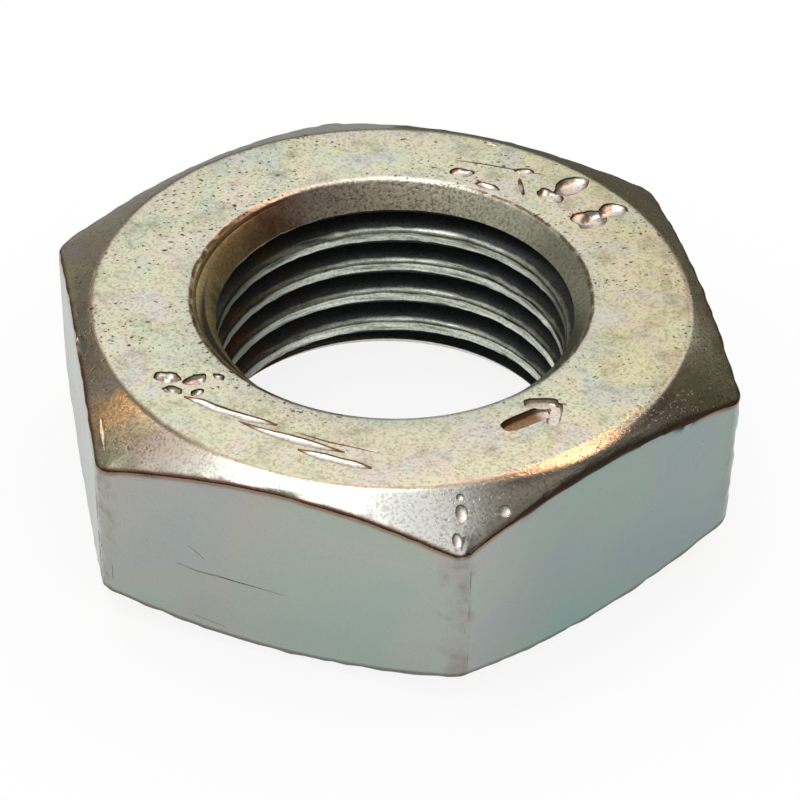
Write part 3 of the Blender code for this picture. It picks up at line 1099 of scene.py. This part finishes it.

# %% [markdown]
# ## Putting the colours together
#
# Each layer is mixed over the ones before it with its mask: the paler ring round the bore, the chamfers
# with their dents, which carry a painted highlight, and their rim, the sides, the corners, the countersink,
# the thread, the lip, the marks with their clean floors, the line along the edges, brown above and painted
# shade at the foot, and the pits last. The floor of the arrow's stem holds dirt. Grain and flecks darken
# what is below them, so they are multiplied.

# %% Layer the colours
# Brown stain along the upper edges, and painted shade, dark grey, along the foot of the flats.
edge_stain_and_foot_shade = add("Mix", {0: upper, 6: colour("#55524C"), 7: colour("#8E6650")}, data_type="RGBA")
floor_film = add("Mix", {0: mask["in_stem"], 6: colour("#EDE4DC"), 7: colour("#94785B")}, data_type="RGBA")
layers = [
    (mask["near_bore"], colour("#D3D7C8")),
    (mask["chamfered"], chamfer_film),
    # Painted highlight: the dents near the front corner are made near white, so that they look bright.
    (mask["painted_dent_highlight"], colour("#F6F3EC")),
    (mask["rim_line"], colour("#A07E66")),
    (mask["side"], side_film),
    (mask["corner"], colour("#8C837E")),
    (mask["in_bore"], cone_film),
    (mask["in_thread"], thread_film),
    (mask["lip"], lip_film),
    (mask["marked"], colour("#6E4C36")),
    (mask["mark_floor"], floor_film),
    (mask["arris_line"], edge_stain_and_foot_shade),
    (pit_shade, colour("#543D2A")),
]
shade = face
for share, layer in layers:
    shade = add("Mix", {0: share, 6: shade, 7: layer}, data_type="RGBA")
for share, layer in ((fewer, grain_shade), (flecked, fleck_shade)):
    shade = add("Mix", {0: share, 6: shade, 7: layer}, data_type="RGBA", blend_type="MULTIPLY")
print("layers over the face:", len(layers))

# %% [markdown]
# ## Gloss and the finest relief
#
# The machined face scatters light most, the drawn sides less, and the turned chamfers least. The grooves of
# the thread and the pits are dull, and the soft rim is polished. The grain, the flecks and the pits also
# stand in relief, a few thousandths of a millimetre, which is what makes the metal sparkle.

# %% Set the gloss and the relief
rough = add("MapRange", {0: noise["mottle"], 1: 0.3, 2: 0.7, 3: 0.32, 4: 0.44})
gloss = [
    (mask["chamfered"], 0.20),
    (mask["soft_rim"], 0.11),
    (mask["painted_dent_highlight"], 0.42),
    (mask["side"], 0.27),
    (mask["in_bore"], mask["cone_gloss"]),
    (mask["marked"], 0.30),
    (mask["thread_groove"], 0.45),
    (pit_shade, 0.7),
]
for share, value in gloss:
    rough = add("Mix", {0: share, 2: rough, 3: value})
relief = add("Math", {0: noise["grain"], 1: 0.6, 2: noise["mottle"]}, operation="MULTIPLY_ADD")
calmer = add("MapRange", {0: mask["chamfered"], 3: 0.9, 4: 0.5})
for share in (calmer, fewer):
    relief = add("Math", {0: relief, 1: share}, operation="MULTIPLY")
broken = add("Math", {0: mask["marked"], 1: 0.6, 2: flecked}, operation="MULTIPLY_ADD")
fleck_relief = add("Math", {0: noise["flecks"], 1: broken}, operation="MULTIPLY")
relief = add("Math", {0: fleck_relief, 1: 1.6, 2: relief}, operation="MULTIPLY_ADD")
relief = add("Math", {0: pits, 1: -1.0, 2: relief}, operation="MULTIPLY_ADD")
bump = add("Bump", {"Height": relief, "Distance": 0.005 * MM, "Strength": 1.0})
metal = zinc.node_tree.nodes["Principled BSDF"]
feed(metal, {"Metallic": 1.0, "Base Color": shade, "Roughness": rough, "Normal": bump})
nut.data.materials.clear()
nut.data.materials.append(zinc)
print("nodes in the finish:", len(zinc.node_tree.nodes))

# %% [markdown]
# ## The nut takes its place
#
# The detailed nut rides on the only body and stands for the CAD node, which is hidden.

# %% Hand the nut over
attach(nut, "root")
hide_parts("hex_nut")

# %% [markdown]
# ## Camera
#
# The camera's place was worked out from the nut's outline in the photograph. Its three axes are built from
# the direction in which it stands, and turned a little by its roll. Together they are the matrix of its
# rotation.

# %% Place the camera
AZIMUTH = math.radians(-11.17)
ELEVATION = math.radians(39.86)
ROLL = math.radians(1.08)
DISTANCE = 78.18 * MM
level = Vector((math.cos(AZIMUTH), math.sin(AZIMUTH), 0))
towards = Vector((math.sin(AZIMUTH), -math.cos(AZIMUTH), 0))
back = towards * math.cos(ELEVATION) + Vector((0, 0, math.sin(ELEVATION)))
upward = back.cross(level)
right = math.cos(ROLL) * level + math.sin(ROLL) * upward
up = math.cos(ROLL) * upward - math.sin(ROLL) * level
turn = Matrix((right, up, back)).transposed().to_euler()
bpy.ops.object.camera_add(location=back * DISTANCE, rotation=turn)
camera = bpy.context.object
camera.name = "camera"
camera.data.lens = 133.2
camera.data.sensor_width = 36
camera.data.shift_x = 0.016
camera.data.shift_y = 0.0773
camera.data.clip_start = 1 * MM
camera.data.clip_end = 10
bpy.context.scene.camera = camera
print("camera at, mm:", [round(value / MM, 1) for value in camera.location])

# %% [markdown]
# ## The floor
#
# The nut stands on a sheet of white paper. The eye, and the metal that mirrors it, see the paper partly by
# a light of its own, so that it reads as white even inside the bore, and still keeps the nut's soft shadow.
# Light Path tells the rays of the camera and the reflections from those that light the nut, which get
# nothing extra.

# %% Lay the floor
start()
bpy.ops.mesh.primitive_plane_add(size=2, location=(0, 0, -0.002 * MM))
floor = bpy.context.object
floor.name = "floor"
bpy.ops.object.transform_apply()
paper = bpy.data.materials.new("white_paper")
paper.use_nodes = True
page = paper.node_tree
paper_shader = page.nodes["Principled BSDF"]
feed(paper_shader, {"Base Color": colour("#EFEFEF"), "Roughness": 0.9})
rays = add("LightPath", tree=page).outputs
seen = add("Math", {0: rays["Is Camera Ray"], 1: rays["Is Glossy Ray"]}, tree=page, operation="MAXIMUM")
seen = add("Math", {0: seen, 1: rays["Is Transmission Ray"]}, tree=page, operation="MAXIMUM")
own_light = add("Math", {0: seen, 1: 0.85}, tree=page, operation="MULTIPLY")
glow = add("Emission", {"Color": colour("#FFFFFF"), "Strength": 1.0}, tree=page)
mixed = add("MixShader", {0: own_light, 1: paper_shader, 2: glow}, tree=page)
feed(page.nodes["Material Output"], {"Surface": mixed})
floor.data.materials.append(paper)
print("nodes in the paper:", len(page.nodes))

# %% [markdown]
# ## Dark cards
#
# Bare metal has hardly a colour of its own: it shows the room. In the photograph the bearing face shows
# something bright behind the nut, the front chamfer shows a lamp above it, and the edges show a dim room
# all round. White alone would make every face look alike. So dark card stands round the set, as in a
# product photographer's tent, with windows where the metal has to be bright. The cards show in reflections
# only.

# %% Stand the dark cards round the nut
def compass(direction):
    """Azimuth in degrees from the back, clockwise from above, and elevation in degrees."""
    azimuth = math.atan2(direction.x, direction.y)
    return math.degrees(azimuth), math.degrees(math.asin(direction.normalized().z))


def felt(name, grey):
    """A dull card in one grey."""
    material = bpy.data.materials.new(name)
    material.use_nodes = True
    dull = {"Base Color": colour(grey), "Roughness": 1.0, "Specular IOR Level": 0.0}
    feed(material.node_tree.nodes["Principled BSDF"], dull)
    return material


def reflected_only(item):
    """Leaves an object visible to reflections alone."""
    item.visible_camera = False
    item.visible_diffuse = False
    item.visible_shadow = False
    item.visible_transmission = False


def window(azimuth, elevation):
    """The gaps in the cards: a tall one behind the nut, a wide one above it, and a low one to the left."""
    behind = -16 < azimuth < 52 and 24 < elevation < (62 if azimuth < 22 else 50)
    to_the_right = math.cos(math.radians(elevation)) * math.sin(math.radians(azimuth))
    above = elevation > 62 and to_the_right < 0.20
    beside = -84 < azimuth < -46 and 50 < elevation < 63
    return behind or above or beside


# Each card has its name, its grey, and the range of azimuths and elevations that it covers.
cards_on_the_dome = [
    ("dark_card", "#59554D", (-180, 180), (-90, 90)),
    ("camera_side_card", "#95938B", (120, 180), (25, 90)),
    ("camera_side_card", "#95938B", (-180, -120), (25, 90)),
    ("left_card", "#B3AFA6", (-140, -72), (20, 62)),
    ("left_back_low_card", "#7C7971", (-72, -16), (12, 34)),
    ("left_back_card", "#959389", (-72, -16), (34, 62)),
    ("back_low_card", "#908E8A", (-16, 14), (-14, 24)),
    ("horizon_card", "#999589", (-80, -16), (-5, 12)),
    ("right_back_low_card", "#646155", (14, 60), (-14, 24)),
    ("right_card", "#55524B", (60, 120), (-5, 46)),
    ("right_high_card", "#79746C", (40, 130), (46, 90)),
]


def at(face):
    return compass(middle(face))


def in_range(value, limits):
    return limits[0] < value <= limits[1]


start()
bpy.ops.mesh.primitive_uv_sphere_add(segments=90, ring_count=60, radius=0.5)
cards = bpy.context.object
cards.name = "dark_cards"
edit()
print("window faces cut out:", pick("faces", lambda face: window(*at(face))))
bpy.ops.mesh.delete(type="FACE")
print("faces below the floor cut off:", pick("faces", lambda face: middle(face).z < -0.02))
bpy.ops.mesh.delete(type="FACE")
for index, (name, grey, azimuths, elevations) in enumerate(cards_on_the_dome):
    cards.data.materials.append(felt(name, grey))
    found = pick("faces", lambda face: in_range(at(face)[0], azimuths) and in_range(at(face)[1], elevations))
    cards.active_material_index = index
    bpy.ops.object.material_slot_assign()
    print(name + ":", found, "faces")
bpy.ops.object.mode_set(mode="OBJECT")
reflected_only(cards)

# %% [markdown]
# The flats look down at the table near the nut, which is dark in the photograph's reflections and white to
# the eye. So a flat dark ring lies round the nut, for reflections only, and is lighter behind it.

# %% Lay the dark mat
start()
bpy.ops.mesh.primitive_circle_add(vertices=64, radius=18 * MM, location=(0, 0, 0.01 * MM))
mat = bpy.context.object
mat.name = "dark_mat"
bpy.ops.object.transform_apply()
edit()
bpy.ops.mesh.extrude_edges_move()
bpy.ops.transform.resize(value=(25, 25, 1))
mat.data.materials.append(cards.data.materials["dark_card"])
mat.data.materials.append(cards.data.materials["back_low_card"])
print("lighter faces of the mat:", pick("faces", lambda face: -24 < at(face)[0] < 14))
mat.active_material_index = 1
bpy.ops.object.material_slot_assign()
bpy.ops.object.mode_set(mode="OBJECT")
reflected_only(mat)

# %% [markdown]
# ## Lamps
#
# One large soft lamp hangs above the nut, and the front chamfer mirrors it. Three small warm lamps give the
# copper glints on the upper front right shoulder, in the bore and on the left chamfer, and light nothing
# else. Two of them are long strips, turned so that their images lie along the shoulder.


# %% Hang the lamps
def softbox(name, direction, along, width, height, radiance, tint="#FFFFFF"):
    """A lamp that faces the nut. Its width runs along one direction, and radiance is how bright it looks."""
    direction = Vector(direction).normalized()
    upright = direction.cross(Vector(along)).normalized()
    axes = Matrix((upright.cross(direction), upright, direction)).transposed()
    start()
    bpy.ops.object.light_add(type="AREA", location=direction * LAMP_DISTANCE, rotation=axes.to_euler())
    lamp = bpy.context.object
    lamp.name = name
    lamp.data.shape = "RECTANGLE"
    lamp.data.size = width
    lamp.data.size_y = height
    lamp.data.color = colour(tint)[:3]
    lamp.data.energy = radiance * math.pi * width * height
    return lamp


LAMP_DISTANCE = 0.30
softbox("overhead_lamp", (-0.19, 0.13, 0.97), (0.565, 0.825, 0), 0.17, 0.11, 3.0)
warm_lamps = [
    ("warm_lamp_right", (0.402, 0.340, 0.850), (0.185, -0.301, 0.033), 0.150, 0.024, 6.0, "#FFBF90"),
    ("warm_lamp_middle", (0.344, 0.295, 0.891), (0.139, -0.345, 0.059), 0.080, 0.012, 3.4, "#FFC5A2"),
    ("warm_lamp_left", (-0.48, 0.47, 0.74), (1, 0, 0), 0.014, 0.014, 8.0, "#FFD4AD"),
]
for row in warm_lamps:
    warm = softbox(*row)
    warm.visible_diffuse = False
print("lamps:", 1 + len(warm_lamps))

# %% [markdown]
# ## World and render settings
#
# The world is plain white, at the strength at which white paper looks white. The cards keep most of it from
# the metal. The Standard view shows colours as they are written.

# %% Set the world and the view
world = bpy.context.scene.world or bpy.data.worlds.new("world")
bpy.context.scene.world = world
world.use_nodes = True
feed(world.node_tree.nodes["Background"], {"Color": colour("#FFFFFF"), "Strength": 1.0})
bpy.context.scene.view_settings.view_transform = "Standard"
